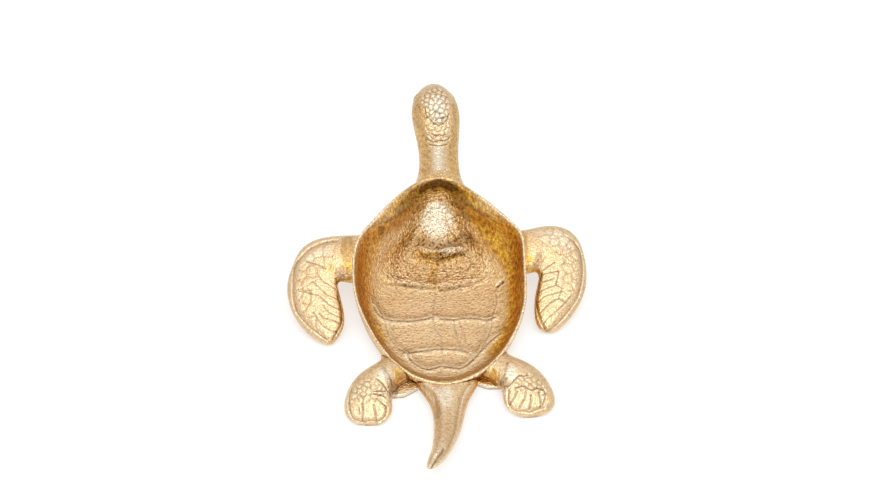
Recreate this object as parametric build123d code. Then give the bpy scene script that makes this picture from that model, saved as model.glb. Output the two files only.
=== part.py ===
from build123d import *
import os
from math import cos, pi, radians, sin

# Cast metal sea turtle dish. Millimetres, +Z up, +Y towards the head.
# The origin is on the resting surface, under the middle of the overall length.
# The hollow shell is the bowl; neck with head, flippers, hind feet and tail are
# separate castings that seat on the outside of the bowl.

os.makedirs("parts", exist_ok=True)

# Bowl
dish_length = 105.0
dish_width = 78.6
dish_wall = 1.9
floor_thickness = 2.6
arch_height = 31.0      # rim above the neck
shoulder_height = 25.5  # rim where the front flippers leave it
side_height = 18.5      # rim at the widest place
haunch_height = 9.5     # rim above the hind feet
tail_rim_height = 7.0   # rim at the tail
base_length = 50.0      # flat underside that the dish rests on
base_width = 38.0
ridge_width = 27.0      # swelling of the neck inside the bowl, at its foot
ridge_rise = 11.5       # its foot above the table

# Neck and head
neck_reach = 43.0       # from the front of the rim to the nose
head_height = 49.5      # middle of the head above the table
head_width = 22.6
head_depth = 17.2
neck_width = 18.0
neck_depth = 16.0
neck_root_width = 34.0
neck_root_depth = 16.5
neck_axis_x = 1.8       # the neck casting sits a little to one side
neck_wall = 2.2         # neck and head are cast hollow, open towards the bowl

# Front flippers
left_flipper_reach = 29.0   # beyond the rim, sideways
right_flipper_reach = 27.4
left_flipper_length = 49.0  # along the turtle, shoulder to tip
right_flipper_length = 49.0
left_shoulder_set = 27.0    # from the front of the rim back to the leading edge
right_shoulder_set = 24.5
flipper_thickness = 9.2
flipper_tip_height = 2.0
flipper_shoulder_height = 20.5

# Hind feet
left_foot_reach = 33.4  # outwards from the haunch anchor
right_foot_reach = 35.6
left_foot_length = 39.4  # along the turtle, thigh to toes
right_foot_length = 38.6
foot_thickness = 9.6
left_web_length = 25.6   # along the turtle, from the haunch anchor to the free edge
right_web_length = 22.6
web_thickness = 2.2

# Tail
tail_reach = 45.0       # from the back of the rim to the tip
tail_root_width = 24.0
tail_depth = 7.2
tail_side_swing = 9.4   # how far the tip bends to one side
tail_root_height = 4.1
tail_tip_height = 14.0
tail_axis_x = 1.1       # the tail's root sits a little to one side

# Places that follow from the sizes
overall_length = neck_reach + dish_length + tail_reach
nose_y = overall_length / 2
dish_front_y = nose_y - neck_reach
dish_back_y = dish_front_y - dish_length
half_width = dish_width / 2
blank_top = arch_height + neck_depth / 2
oval_steps = 6  # curve spans in half an oval

# Outlines of the bowl seen from above, front to back: share of the half width on
# the left and on the right, and share of the length measured from the back
rim_outline_shares = [
    (0.00, 0.00, 1.000), (0.135, 0.18, 0.985), (0.30, 0.335, 0.925),
    (0.605, 0.665, 0.805), (0.885, 0.94, 0.715), (1.00, 0.99, 0.570),
    (0.97, 0.985, 0.430), (0.82, 0.875, 0.285), (0.61, 0.665, 0.150),
    (0.35, 0.39, 0.050), (0.00, 0.00, 0.000),
]
base_outline_shares = [
    (0.00, 0.00, 1.000), (0.34, 0.34, 0.985), (0.60, 0.60, 0.930),
    (0.82, 0.82, 0.820), (0.95, 0.95, 0.670), (1.00, 1.00, 0.500),
    (0.97, 0.97, 0.370), (0.85, 0.85, 0.235), (0.63, 0.63, 0.110),
    (0.34, 0.34, 0.030), (0.00, 0.00, 0.000),
]

# Levels of the bowl from the base up: share of the arch height, share of the
# half width, share of the length in front of the base, share of the length
# behind it, and how much of the rim's outline the level has
bowl_level_shares = [
    (0.00, 0.000, 0.00, 0.00, 0.00),
    (0.012, 0.12, 0.05, 0.16, 0.05),
    (0.04, 0.460, 0.26, 0.58, 0.15),
    (0.14, 0.730, 0.53, 0.85, 0.45),
    (0.30, 0.885, 0.72, 0.97, 0.82),
    (0.40, 0.935, 0.80, 1.00, 1.00),
    (0.53, 0.970, 0.89, 1.00, 1.00),
    (0.66, 0.990, 0.95, 1.00, 1.00),
    (0.79, 1.000, 0.98, 1.00, 1.00),
    (1.00, 1.000, 1.00, 1.00, 1.00),
]
base_back_share = 0.11  # of the dish length, from the back of the rim to the base

# Rim seen from the side: places as shares of the dish length from the back, and
# the heights there
rim_place_shares = [-0.20, 0.00, 0.145, 0.52, 0.70, 0.90, 1.00, 1.20]
rim_heights = [
    tail_rim_height, tail_rim_height, haunch_height, side_height, shoulder_height,
    (shoulder_height + 3 * arch_height) / 4, arch_height, arch_height,
]


def along_dish(share):
    return dish_back_y + share * dish_length


def mixed(first, second, amount):
    return [a + (b - a) * amount for a, b in zip(first, second)]


def level_outline(level, inset):
    """One closed outline of the bowl; inset moves it inwards."""
    height_share, width_share, front_share, back_share, rim_share = level
    base_back = along_dish(base_back_share)
    base_front = base_back + base_length
    width = base_width / 2 + width_share * (half_width - base_width / 2) - inset
    front = base_front + front_share * (dish_front_y - base_front) - inset
    back = base_back - back_share * (base_back - dish_back_y) + inset
    left, right = [], []
    for base_point, rim_point in zip(base_outline_shares, rim_outline_shares):
        left_share, right_share, along = mixed(base_point, rim_point, rim_share)
        y = back + along * (front - back)
        left.append((-left_share * width, y))
        right.append((right_share * width, y))
    return right + left[-2:0:-1]


def bowl_form(inset, lift):
    """Solid bowl form from the stacked levels, carried straight up above the arch.

    The lift of the floor fades out towards the arch, so the rim keeps the wall.
    """
    sections = []
    for level in bowl_level_shares:
        height = level[0] * arch_height + lift * (1 - level[0])
        outline = Spline(*level_outline(level, inset), periodic=True)
        sections.append(Pos(0, 0, height) * make_face(outline))
    return loft(sections) + extrude(sections[-1], amount=blank_top - arch_height)


def above_rim():
    """Everything above the rim's side profile."""
    places = [along_dish(share) for share in rim_place_shares]
    points = list(zip(places, rim_heights))
    back, front = points[0], points[-1]
    ceiling = 2 * blank_top
    edge = Spline(*points)
    sides = Polyline(front, (front[0], ceiling), (back[0], ceiling), back)
    face = Plane.YZ * make_face(edge + sides)
    return extrude(face, amount=dish_width, both=True)


def below_table():
    """A block under the resting surface."""
    depth = arch_height
    side = 2 * overall_length
    return Pos(0, 0, -depth / 2) * Box(side, side, depth)


def left_of(form):
    """The same form on the turtle's other side."""
    return mirror(form, about=Plane.YZ)


def oval_on(plane, width, depth):
    """Oval face on a plane, its upper and its lower half each one curve."""
    halves = []
    for first_turn in (0, pi):
        turns = [first_turn + pi * step / oval_steps for step in range(oval_steps + 1)]
        ring = [(cos(turn) * width / 2, sin(turn) * depth / 2) for turn in turns]
        halves.append(Spline(*[plane.from_local_coords(point) for point in ring]))
    return make_face(halves[0] + halves[1])


def oval(first, second, thickness):
    """Oval face whose long axis runs from one point to the other."""
    start, end = Vector(*first), Vector(*second)
    chord = end - start
    normal = chord.cross(Vector(0, 0, 1))
    plane = Plane(origin=(start + end) / 2, x_dir=chord, z_dir=normal)
    return oval_on(plane, chord.length, thickness)


def spine_oval(center, rise_degrees, width, depth):
    """Oval face across a spine that lies in the middle plane."""
    angle = radians(rise_degrees)
    plane = Plane(origin=center, x_dir=(1, 0, 0), z_dir=(0, cos(angle), sin(angle)))
    return oval_on(plane, width, depth)


# Swelling of the neck inside the bowl, from its foot up to the arch: share of the
# dish length from the back, height of the crest and height of the whole section
# as shares of the rise, and share of the width
ridge_station_shares = [
    (0.700, 0.50, 0.90, 0.62),
    (0.730, 0.86, 1.40, 0.98),
    (0.775, 1.02, 1.70, 1.12),
    (0.84, 1.28, 1.90, 1.04),
    (0.90, 1.52, 2.00, 0.86),
    (0.955, 1.86, 2.10, 0.66),
    (1.00, 2.40, 2.20, 0.50),
]


def neck_ridge():
    sections = []
    for along, crest, depth, width in ridge_station_shares:
        y = along_dish(along)
        height = depth * ridge_rise
        center = (0, y, crest * ridge_rise - height / 2)
        sections.append(spine_oval(center, 0, width * ridge_width, height))
    return loft(sections)


# Dish shell
def shell_dish(bowl):
    cavity = bowl_form(dish_wall, floor_thickness)
    ridge = neck_ridge() & bowl
    return bowl - cavity + ridge - above_rim()


# Neck and head: share of the neck's reach from the rim, share of the head's
# height, rise of the spine in degrees, how far its middle stands to the side as a
# share of the head's width, and shares of the width and the depth of the root, the
# neck or the head
neck_root_shares = [
    (-0.33, 0.38, 15, 0.00, 1.00, 0.72),
    (-0.06, 0.435, 28, 0.00, 0.93, 0.90),
]
neck_shares = [
    (0.155, 0.535, 52, 0.01, 1.12, 1.00),
    (0.275, 0.705, 56, 0.01, 1.04, 1.00),
    (0.405, 0.860, 42, -0.01, 1.16, 1.00),
]
head_shares = [
    (0.595, 0.965, 20, -0.03, 1.00, 1.00),
    (0.775, 1.000, 8, -0.045, 0.87, 0.92),
    (0.915, 1.010, 0, -0.05, 0.56, 0.62),
    (1.000, 1.000, 0, -0.03, 0.16, 0.16),
]


nose_end = 1  # stations that close the nose, which the hollow stops short of


def neck_form(inset, stations_left_out):
    stretches = [
        (neck_root_shares, neck_root_width, neck_root_depth),
        (neck_shares, neck_width, neck_depth),
        (head_shares[:len(head_shares) - stations_left_out], head_width, head_depth),
    ]
    sections = []
    for stations, full_width, full_depth in stretches:
        for reach_share, height_share, rise, side_share, width_share, depth_share in stations:
            x = neck_axis_x + side_share * head_width
            y = dish_front_y + reach_share * neck_reach
            center = (x, y, height_share * head_height)
            width = width_share * full_width - 2 * inset
            depth = depth_share * full_depth - 2 * inset
            sections.append(spine_oval(center, rise, width, depth))
    return loft(sections)


def neck_and_head():
    return neck_form(0, 0) - neck_form(neck_wall, nose_end)


# Front flippers, as on the right side: shares of reach and length of the leading
# edge and of the trailing edge, and share of the thickness
left_flipper_shares = [
    (-0.36, 0.00, -0.36, 0.47, 1.00),
    (-0.12, 0.00, -0.12, 0.46, 1.00),
    (0.12, 0.00, 0.08, 0.445, 1.00),
    (0.39, 0.01, 0.165, 0.435, 0.96),
    (0.71, 0.075, 0.21, 0.45, 0.85),
    (0.91, 0.25, 0.205, 0.51, 0.76),
    (1.00, 0.445, 0.165, 0.605, 0.70),
    (0.94, 0.67, 0.12, 0.735, 0.63),
    (0.75, 0.855, 0.135, 0.855, 0.56),
    (0.54, 0.96, 0.215, 0.94, 0.46),
    (0.40, 0.995, 0.28, 0.985, 0.28),
]
right_flipper_shares = [
    (-0.36, 0.05, -0.36, 0.47, 1.00),
    (-0.12, 0.035, -0.12, 0.46, 1.00),
    (0.12, 0.025, 0.08, 0.445, 1.00),
    (0.42, 0.00, 0.15, 0.44, 0.96),
    (0.76, 0.045, 0.185, 0.46, 0.85),
    (0.965, 0.225, 0.185, 0.52, 0.76),
    (1.00, 0.445, 0.135, 0.615, 0.70),
    (0.91, 0.665, 0.085, 0.745, 0.63),
    (0.71, 0.84, 0.08, 0.87, 0.56),
    (0.51, 0.945, 0.135, 0.955, 0.46),
    (0.38, 0.985, 0.22, 0.99, 0.28),
]


def front_flipper(flipper_shares, flipper_reach, flipper_length, shoulder_set):
    front_y = dish_front_y - shoulder_set
    fall = flipper_shoulder_height - flipper_tip_height

    def place(x_share, y_share):
        x = half_width + x_share * flipper_reach
        y = front_y - y_share * flipper_length
        return (x, y, flipper_shoulder_height - y_share * fall)

    sections = []
    for lead_x, lead_y, trail_x, trail_y, thick in flipper_shares:
        lead, trail = place(lead_x, lead_y), place(trail_x, trail_y)
        sections.append(oval(trail, lead, thick * flipper_thickness))
    return loft(sections)


# Hind feet, as on the right side: shares of reach and length of the outer edge and
# of the inner edge, height of the middle and thickness as shares of the thickness
left_foot_shares = [
    (0.33, 0.04, 0.00, 0.40, 0.48, 0.80),
    (0.53, 0.25, 0.23, 0.50, 0.56, 0.94),
    (0.735, 0.385, 0.36, 0.62, 0.55, 1.00),
    (0.89, 0.535, 0.375, 0.725, 0.48, 0.96),
    (0.96, 0.70, 0.37, 0.825, 0.40, 0.80),
    (0.96, 0.86, 0.40, 0.92, 0.29, 0.58),
    (0.89, 0.95, 0.47, 0.98, 0.20, 0.40),
    (0.80, 0.985, 0.54, 1.00, 0.14, 0.24),
]
right_foot_shares = [
    (0.33, 0.04, 0.00, 0.40, 0.48, 0.80),
    (0.53, 0.235, 0.23, 0.50, 0.56, 0.94),
    (0.745, 0.36, 0.35, 0.62, 0.55, 1.00),
    (0.91, 0.52, 0.385, 0.72, 0.48, 0.96),
    (0.99, 0.70, 0.395, 0.81, 0.40, 0.80),
    (0.99, 0.87, 0.44, 0.905, 0.29, 0.58),
    (0.915, 0.945, 0.52, 0.96, 0.20, 0.40),
    (0.80, 0.975, 0.60, 0.985, 0.14, 0.24),
]
foot_anchor_x_share = 0.25  # of the half width
foot_anchor_y_share = 0.24  # of the dish length
web_outline_shares = [
    (0.42, 1.00), (0.22, 0.985), (0.04, 0.84), (0.08, 0.60), (0.42, 0.60),
]


def hind_foot(foot_shares, foot_reach, foot_length, web_length):
    anchor_x = foot_anchor_x_share * half_width
    anchor_y = along_dish(foot_anchor_y_share)

    def place(x_share, y_share, height):
        return (anchor_x + x_share * foot_reach, anchor_y - y_share * foot_length, height)

    sections = []
    for out_x, out_y, in_x, in_y, high, thick in foot_shares:
        height = high * foot_thickness
        outer, inner = place(out_x, out_y, height), place(in_x, in_y, height)
        sections.append(oval(inner, outer, thick * foot_thickness))
    corners = []
    for x_share, y_share in web_outline_shares:
        corners.append((anchor_x + x_share * foot_reach, anchor_y - y_share * web_length))
    web = extrude(make_face(Polyline(*corners, close=True)), amount=web_thickness)
    return loft(sections) + web


# Tail: share of its reach behind the rim, share of the side swing, share of the
# climb to the tip, share of the root width and share of the depth
tail_station_shares = [
    (-0.15, 0.00, 0.00, 1.00, 0.90),
    (0.035, 0.00, 0.01, 0.90, 0.95),
    (0.18, 0.00, 0.03, 0.65, 1.00),
    (0.38, 0.06, 0.13, 0.51, 1.00),
    (0.60, 0.24, 0.37, 0.41, 0.92),
    (0.81, 0.55, 0.65, 0.31, 0.75),
    (0.945, 0.84, 0.88, 0.20, 0.47),
    (1.000, 0.97, 1.00, 0.07, 0.15),
]


def tail_form():
    climb = tail_tip_height - tail_root_height
    sections = []
    for reach, swing, rise, width, depth in tail_station_shares:
        y = dish_back_y - reach * tail_reach
        x = tail_axis_x - swing * tail_side_swing
        z = tail_root_height + rise * climb
        half = width * tail_root_width / 2
        sections.append(oval((x - half, y, z), (x + half, y, z), depth * tail_depth))
    return loft(sections)


# Each casting is cut back to where it seats: on the outside of the bowl, on the
# tail and on the table
bowl_blank = bowl_form(0, 0)
table = below_table()
tail_blank = tail_form()
right_flipper = front_flipper(
    right_flipper_shares, right_flipper_reach, right_flipper_length, right_shoulder_set)
left_flipper = front_flipper(
    left_flipper_shares, left_flipper_reach, left_flipper_length, left_shoulder_set)
right_foot = hind_foot(right_foot_shares, right_foot_reach, right_foot_length, right_web_length)
left_foot = hind_foot(left_foot_shares, left_foot_reach, left_foot_length, left_web_length)

pieces = {
    "shell_dish": shell_dish(bowl_blank),
    "neck_and_head": neck_and_head() - bowl_blank,
    "front_flipper_right": right_flipper - bowl_blank - table,
    "front_flipper_left": left_of(left_flipper) - bowl_blank - table,
    "hind_foot_right": right_foot - bowl_blank - tail_blank - table,
    "hind_foot_left": left_of(left_foot) - bowl_blank - tail_blank - table,
    "tail": tail_blank - bowl_blank,
}

# The flippers' reaches differ a little, and the origin is midway between their ends
dish_axis_x = (left_flipper_reach - right_flipper_reach) / 2
for name, piece in pieces.items():
    placed = Pos(dish_axis_x, 0, 0) * piece
    export_step(placed, f"parts/{name}.step")
    print(name, round(placed.volume))
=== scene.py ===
import math

import bmesh
import bpy
import numpy as np
from mathutils import Euler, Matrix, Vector
from mathutils.bvhtree import BVHTree
from mathutils.kdtree import KDTree


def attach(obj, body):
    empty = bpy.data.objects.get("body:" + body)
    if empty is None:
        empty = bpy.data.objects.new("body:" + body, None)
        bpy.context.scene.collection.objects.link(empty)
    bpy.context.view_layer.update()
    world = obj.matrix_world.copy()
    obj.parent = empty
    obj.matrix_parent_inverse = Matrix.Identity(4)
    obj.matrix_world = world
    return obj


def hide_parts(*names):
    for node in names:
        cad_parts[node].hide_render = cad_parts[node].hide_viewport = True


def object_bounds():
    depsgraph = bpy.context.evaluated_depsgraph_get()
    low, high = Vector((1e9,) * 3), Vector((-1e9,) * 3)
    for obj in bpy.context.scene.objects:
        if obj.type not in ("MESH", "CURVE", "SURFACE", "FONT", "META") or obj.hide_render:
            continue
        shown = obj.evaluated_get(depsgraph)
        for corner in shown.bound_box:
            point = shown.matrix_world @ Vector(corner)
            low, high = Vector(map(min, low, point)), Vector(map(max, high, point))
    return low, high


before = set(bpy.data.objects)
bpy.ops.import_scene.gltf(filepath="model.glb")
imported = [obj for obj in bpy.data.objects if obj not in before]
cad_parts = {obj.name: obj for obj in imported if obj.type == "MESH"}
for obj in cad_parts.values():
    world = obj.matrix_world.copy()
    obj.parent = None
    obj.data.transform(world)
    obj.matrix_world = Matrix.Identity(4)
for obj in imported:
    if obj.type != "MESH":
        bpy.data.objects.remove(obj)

cad_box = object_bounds()

MM = 0.001

# The photograph's frame and the place it was taken from, over the row frame
photo_width = 877
photo_height = 500
camera_place = Vector((-13.9, -339.3, 375.5)) * MM
camera_turn = Euler((math.radians(45), 0, math.radians(-2.36)))
camera_lens = 45.73
camera_sensor = 36

# Length of a face's side on each fine skin, in millimetres
dish_skin = 0.49
limb_skin = 0.34
neck_skin = 0.36

# Rounds of softening
skin_rounds = 2      # a fresh skin and its normals
bowl_rounds = 90     # the stepped inside of the bowl
seen_rounds = 40     # the edge of what is seen
finish_rounds = 24   # the edges of a finish
shape_rounds = 10    # the skin that bulges and dents are measured from
wear_rounds = 2      # the bulges and dents
shelter_rounds = 8   # the share of open air

# Depth and half width of the cast lines, in millimetres, and how many half widths one reaches
plate_line_depth = 0.32
plate_line_width = 0.42
plate_ridge_height = 0.6
plate_ridge_width = 2.3
fine_line_depth = 0.24
fine_line_width = 0.28
toe_line_depth = 0.45
toe_line_width = 0.3
line_reach = 2.6

# Lumps and grain of the casting's skin, in millimetres
lump_size = 1.5
lump_height = 0.62
grain_size = 0.9
grain_height = 0.07

# What the shape of the skin does to its finish
worn_bulge = 0.12        # mm, of a bulge that is fully worn
tarnished_dent = 0.25    # mm, of a dent that is fully tarnished
most_from_shape = 0.6    # of either

# What the shares of open air do to it, as painted reflection and shade
open_enough = 0.84          # the gold is painted deeper, as reflected light and shade, below this
open_range = 0.34           # and deepest this much lower
tarnished_corner = 0.3      # a corner is painted darker, as shade, below this
most_corner_tarnish = 0.5

# Painted contact shadow close to the table
tarnished_foot = 1.2        # mm above the table
most_foot_tarnish = 0.7

# Rays that feel for open air
shelter_rays = 8
shelter_reach = 80       # mm
shelter_start = 0.25     # mm off the skin
golden_share = 0.618     # of a turn, from one ray to the next
shelter_seed = 4

# How the inside of the bowl is found
above_bowl = Vector((1, 5, 70)) * MM   # where it is seen from
seen_start = 0.3                       # mm off the skin
seen_share = 0.86                      # a vertex counts where more than this is seen around it
seen_range = 0.12                      # and fully this much higher

# How a drawn line is laid on the casting
pixel_step = 0.5     # pixels between its places
side_step = 0.3      # mm between those on the head's side
beside_head = 80     # mm, where the rays to the head's side start

# Scales
seam_share = 0.28    # of a scale's size, that its seam takes
pillow_level = 0.6   # of its height, that lies below the skin's own level

# Places read on the photograph, as rows of its pixels. First the lines and outlines of the dish
dish_front_lines = [
    [(384, 283), (390, 284), (399, 284.4), (409, 285), (419, 286.6), (428, 287.4), (435, 288)],
    [(440, 290), (445, 290.5), (454, 288), (463, 286), (472, 284), (480, 280), (490, 272)],
]
dish_plate_lines = [
    [(373, 307), (380, 317), (389, 320.6), (399, 321.6), (410, 321.6), (422, 320.4), (432, 318)],
    [(440, 319), (451.5, 320.4), (463, 319), (475, 319), (487, 320.8), (495, 318)],
    [
        (408, 355), (415, 352.6), (422, 351.6), (431, 350.4), (440, 349.7), (449, 350),
        (457, 350.4), (468, 353)],
    [
        (407.5, 356), (412, 362), (419, 367), (427, 370), (434, 369), (441, 367), (450, 368),
        (460, 369), (468, 365), (475, 358.5), (481, 352), (491, 341.6), (501, 333.6)],
]
dish_edge_lines = [
    [(371.5, 299), (378, 309), (384, 320), (387, 330), (391, 340), (399, 349), (407.5, 356)],
    [(496, 294), (496.5, 303), (494, 311), (492, 320), (490.6, 330), (481, 352)],
]
dish_faint_lines = [
    [
        (436, 268), (435.6, 287), (434, 305), (433, 318), (436, 330), (441, 337), (442, 351),
        (443, 362)],
    [(454, 322), (456, 334), (461, 346)],
    [(460, 322), (463.6, 334), (466, 340)],
    [(401, 249), (398.4, 255), (401, 261), (407, 260), (410, 255.4)],
    [
        (368, 322), (378, 340), (392, 357), (408, 368), (425, 375), (440, 377.4), (456, 376),
        (470, 371)],
    [(374, 326), (383, 341), (396, 355), (410, 365)],
]
dish_left_lip = [(419, 247), (425, 249.4), (432, 251), (438, 250.6)]
dish_left_lip_hollow = [(420, 254.6), (425, 257.6), (430, 259)]
dish_right_lip = [(440, 251.4), (446, 249), (453, 247.6), (461, 247.4)]
dish_right_lip_hollow = [(438, 262), (446, 259.4), (455, 256), (464, 253.4)]
dish_right_lip_glint = [
    (441, 253), (447, 248), (455, 246), (463, 247), (462, 251), (452, 253), (444, 255)]
dish_hollow_above_lip = [(416, 240), (424, 241), (434, 244), (444, 245), (456, 242), (468, 239)]
dish_lobe_edges = [
    [(384, 276), (396, 281), (410, 284), (424, 285.6), (434, 285)],
    [(440, 286), (452, 284), (464, 282), (474, 279)],
]
dish_lobe_hollows = [
    [(396, 284), (408, 285.4), (420, 286.6), (431, 288)],
    [(441, 288.6), (452, 287.6), (462, 285.4), (470, 282.4)],
]
dish_gouge = [(497.6, 286), (500, 283.6), (502.4, 282)]
dish_stain = [(378, 227), (384, 225), (385, 231), (382, 237), (378, 234)]
dish_left_wall = [
    (418, 188), (408, 204), (396, 216), (386, 232), (377, 250), (372, 266), (370, 282), (370, 298),
    (373, 311), (380, 326), (388, 340), (384, 346), (366, 330), (352, 300), (350, 270), (354, 244),
    (368, 226), (392, 206), (410, 188), (424, 180)]
dish_right_wall = [
    (456, 188), (464, 208), (474, 228), (486, 244), (496, 256), (504, 270), (508, 282), (508, 298),
    (507, 318), (498, 338), (486, 354), (494, 356), (512, 336), (526, 306), (530, 270), (524, 236),
    (506, 222), (482, 206), (466, 190), (452, 180)]
# Painted shade on the front walls beside the arch
dish_shaded_walls = [
    [(418, 190), (410, 203), (400, 214), (394, 212), (402, 200), (414, 188)],
    [(455, 190), (464, 207), (472, 222), (466, 222), (456, 206), (450, 192)],
]
dish_bright_slope = [
    (430, 202), (444, 202), (452, 214), (454, 228), (444, 235), (428, 235), (420, 226), (424, 212)]
dish_arch_hollow = [
    (400, 206), (412, 192), (424, 182), (438, 178), (450, 180), (462, 190), (474, 206), (464, 205),
    (452, 196), (444, 191), (432, 191), (420, 198), (408, 210)]
dish_arch_shade = [
    (418, 190), (428, 182), (438, 179), (450, 182), (460, 190), (452, 192), (440, 187), (428, 189),
    (420, 195)]
dish_middle_stain = [
    (431, 256), (437, 255), (438, 268), (436, 280), (440, 289), (430, 289), (428, 280), (431, 268)]
dish_grainy_ground = [
    (437, 183), (424, 196), (412, 214), (400, 238), (388, 262), (384, 280), (398, 287), (420, 289),
    (440, 291), (462, 289), (484, 279), (487, 262), (474, 236), (460, 208), (448, 192)]
dish_rough_ground = [
    (420, 196), (438, 186), (456, 196), (466, 214), (474, 232), (484, 250), (488, 268), (482, 282),
    (462, 290), (436, 292), (408, 290), (390, 282), (388, 262), (398, 240), (408, 216)]

# The flippers, with the half widths of two lines that fall off unevenly, and their plates in mm
left_flipper = {
    "edge_line": [
        (334, 240), (325, 242), (316, 245), (307, 250.6), (300, 257.6), (294.6, 265), (293, 275),
        (292.8, 284), (293.2, 299), (296.3, 310.9), (305.2, 322), (314.1, 329.8), (327.4, 339.8)],
    "edge_widths": {"width": 1.9, "right_width": 0.4},
    "inner_line": [(338.4, 296), (341.4, 307), (342.6, 319), (340, 327), (336, 334), (333, 340)],
    "inner_widths": {"width": 0.4, "right_width": 0.9},
    "lines": [
        [(307.4, 262), (314.1, 263.7), (320.8, 266.4), (325.2, 268.7)],
        [(316.3, 272.6), (321.9, 279.8), (328.6, 284.2), (335.2, 288.7)],
        [(313, 282), (319.7, 287.6), (325.2, 293.1), (327.4, 294.8), (338.6, 299.2)],
        [
            (299.1, 290.9), (305.2, 291.4), (310.8, 293.7), (317.4, 294.8), (321.9, 298.1),
            (325.4, 301)],
        [(325.2, 300.9), (328.6, 304.2), (334.1, 307), (341, 309.8)],
        [(323, 304.8), (326.3, 309.8), (331.9, 313.7), (341, 317.6)],
        [(319.1, 313.1), (324.1, 317.6), (331.9, 319.8), (340.4, 323.7)],
        [(313, 312), (317.4, 318.7), (323, 325.3), (330.8, 330.3), (337, 331.4)],
    ],
    "faint_lines": [
        [(296.3, 280.9), (304.1, 277.6), (308.6, 274.2), (316.3, 276.4)],
        [(315.2, 280.9), (309.7, 283.1), (306.8, 287.6), (311, 293.4)],
        [(339.7, 242), (335.2, 246.4), (333, 252)],
    ],
    "plates": [
        (330, 244), (318, 248), (308, 255), (300, 263), (296, 273), (295.6, 286), (296.6, 299),
        (300, 309), (310, 321), (322, 331), (322, 322), (312, 309), (318, 299), (311, 290),
        (315, 278), (324, 268), (333, 256)],
    "plate": {"size": 4.2, "height": 0.16, "seed": 3},
    "crotch": [
        (335, 285), (333.6, 276), (336, 268.6), (341, 266), (347, 267), (351, 269), (351, 280),
        (343, 280)],
    "root": [(342, 238), (352, 236), (354, 250), (352, 262), (343, 262), (340, 250)],
    "top": [(332, 244), (318, 248), (308, 255), (300, 263), (308, 264), (320, 258), (332, 254)],
    "glints": [
        [(343, 262), (350.6, 263), (350.6, 270.6), (345, 269.4)],
        [(329.4, 263), (333, 264), (332, 273), (329, 271)],
    ],
}
right_flipper = {
    "edge_line": [
        (574, 241), (579, 248), (581.7, 256.7), (582.9, 270), (581.7, 282.2), (578.3, 295.6),
        (572.8, 304.4), (567.2, 312.2), (559.4, 321.1), (551.7, 328.9), (547.2, 331.6)],
    "edge_widths": {"width": 0.4, "right_width": 1.9},
    "inner_line": [
        (541, 273.3), (538.2, 286.7), (536, 302.2), (538.4, 314.4), (542.6, 324.4), (545, 330)],
    "inner_widths": {"width": 0.9, "right_width": 0.4},
    "lines": [
        [(543.3, 270), (549.4, 265.6), (555, 262.2)],
        [(542.2, 274.4), (548.3, 272.8), (558.3, 271.1)],
        [(541.7, 282.2), (547.2, 280.6), (554.4, 277.8)],
        [(538.9, 292.2), (545, 288.9), (557.2, 284.4)],
        [(537.8, 302.2), (545, 296.1), (552.8, 293.9), (562.8, 291.1)],
        [(540, 312.8), (546.1, 306.7), (552.8, 301.1), (559.4, 298.3)],
        [(543.3, 323.3), (548.3, 317.8), (556.1, 311.1), (563.9, 304.4), (571, 296)],
        [
            (558.9, 271.1), (557.2, 280), (556.1, 285), (561.7, 287.8), (560.6, 293.3),
            (559.4, 297.8), (565, 302.2)],
    ],
    "faint_lines": [
        [(537.2, 234.4), (544.4, 233.3), (551.7, 238.3), (559.4, 237.8)],
        [(541.7, 241.1), (548.3, 245.6), (553.9, 250), (557.2, 252.2), (559.4, 255.6)],
        [(559.4, 242.2), (560.6, 247.8), (567.2, 248.9), (572.8, 247.2)],
        [(559.4, 254.4), (568.3, 253.3), (571.7, 251.1), (577.2, 252.2)],
        [(562.8, 257.8), (566.1, 261.1), (561.7, 264.4)],
        [(568.3, 258.9), (576.1, 264.4), (575, 271.1)],
    ],
    "plates": [
        (540, 230), (556, 228), (568, 233), (577, 246), (580, 262), (578.6, 278), (574, 292),
        (566, 306), (553, 322), (560, 304), (568, 292), (560, 284), (562, 268), (560, 254),
        (548, 242), (538, 238)],
    "plate": {"size": 3.6, "height": 0.18, "seed": 5},
    "crotch": [
        (533, 262), (536, 252), (541, 251), (543, 262), (542.6, 272), (538, 273), (533, 266)],
    "root": [(519, 232), (527, 233), (528, 246), (527, 260), (522, 260)],
    "top": [(540, 232), (556, 230), (568, 236), (576, 248), (566, 250), (554, 244), (542, 242)],
    "glints": [
        [(525, 256), (533, 256), (533, 263.4), (526, 263)],
    ],
}

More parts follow.
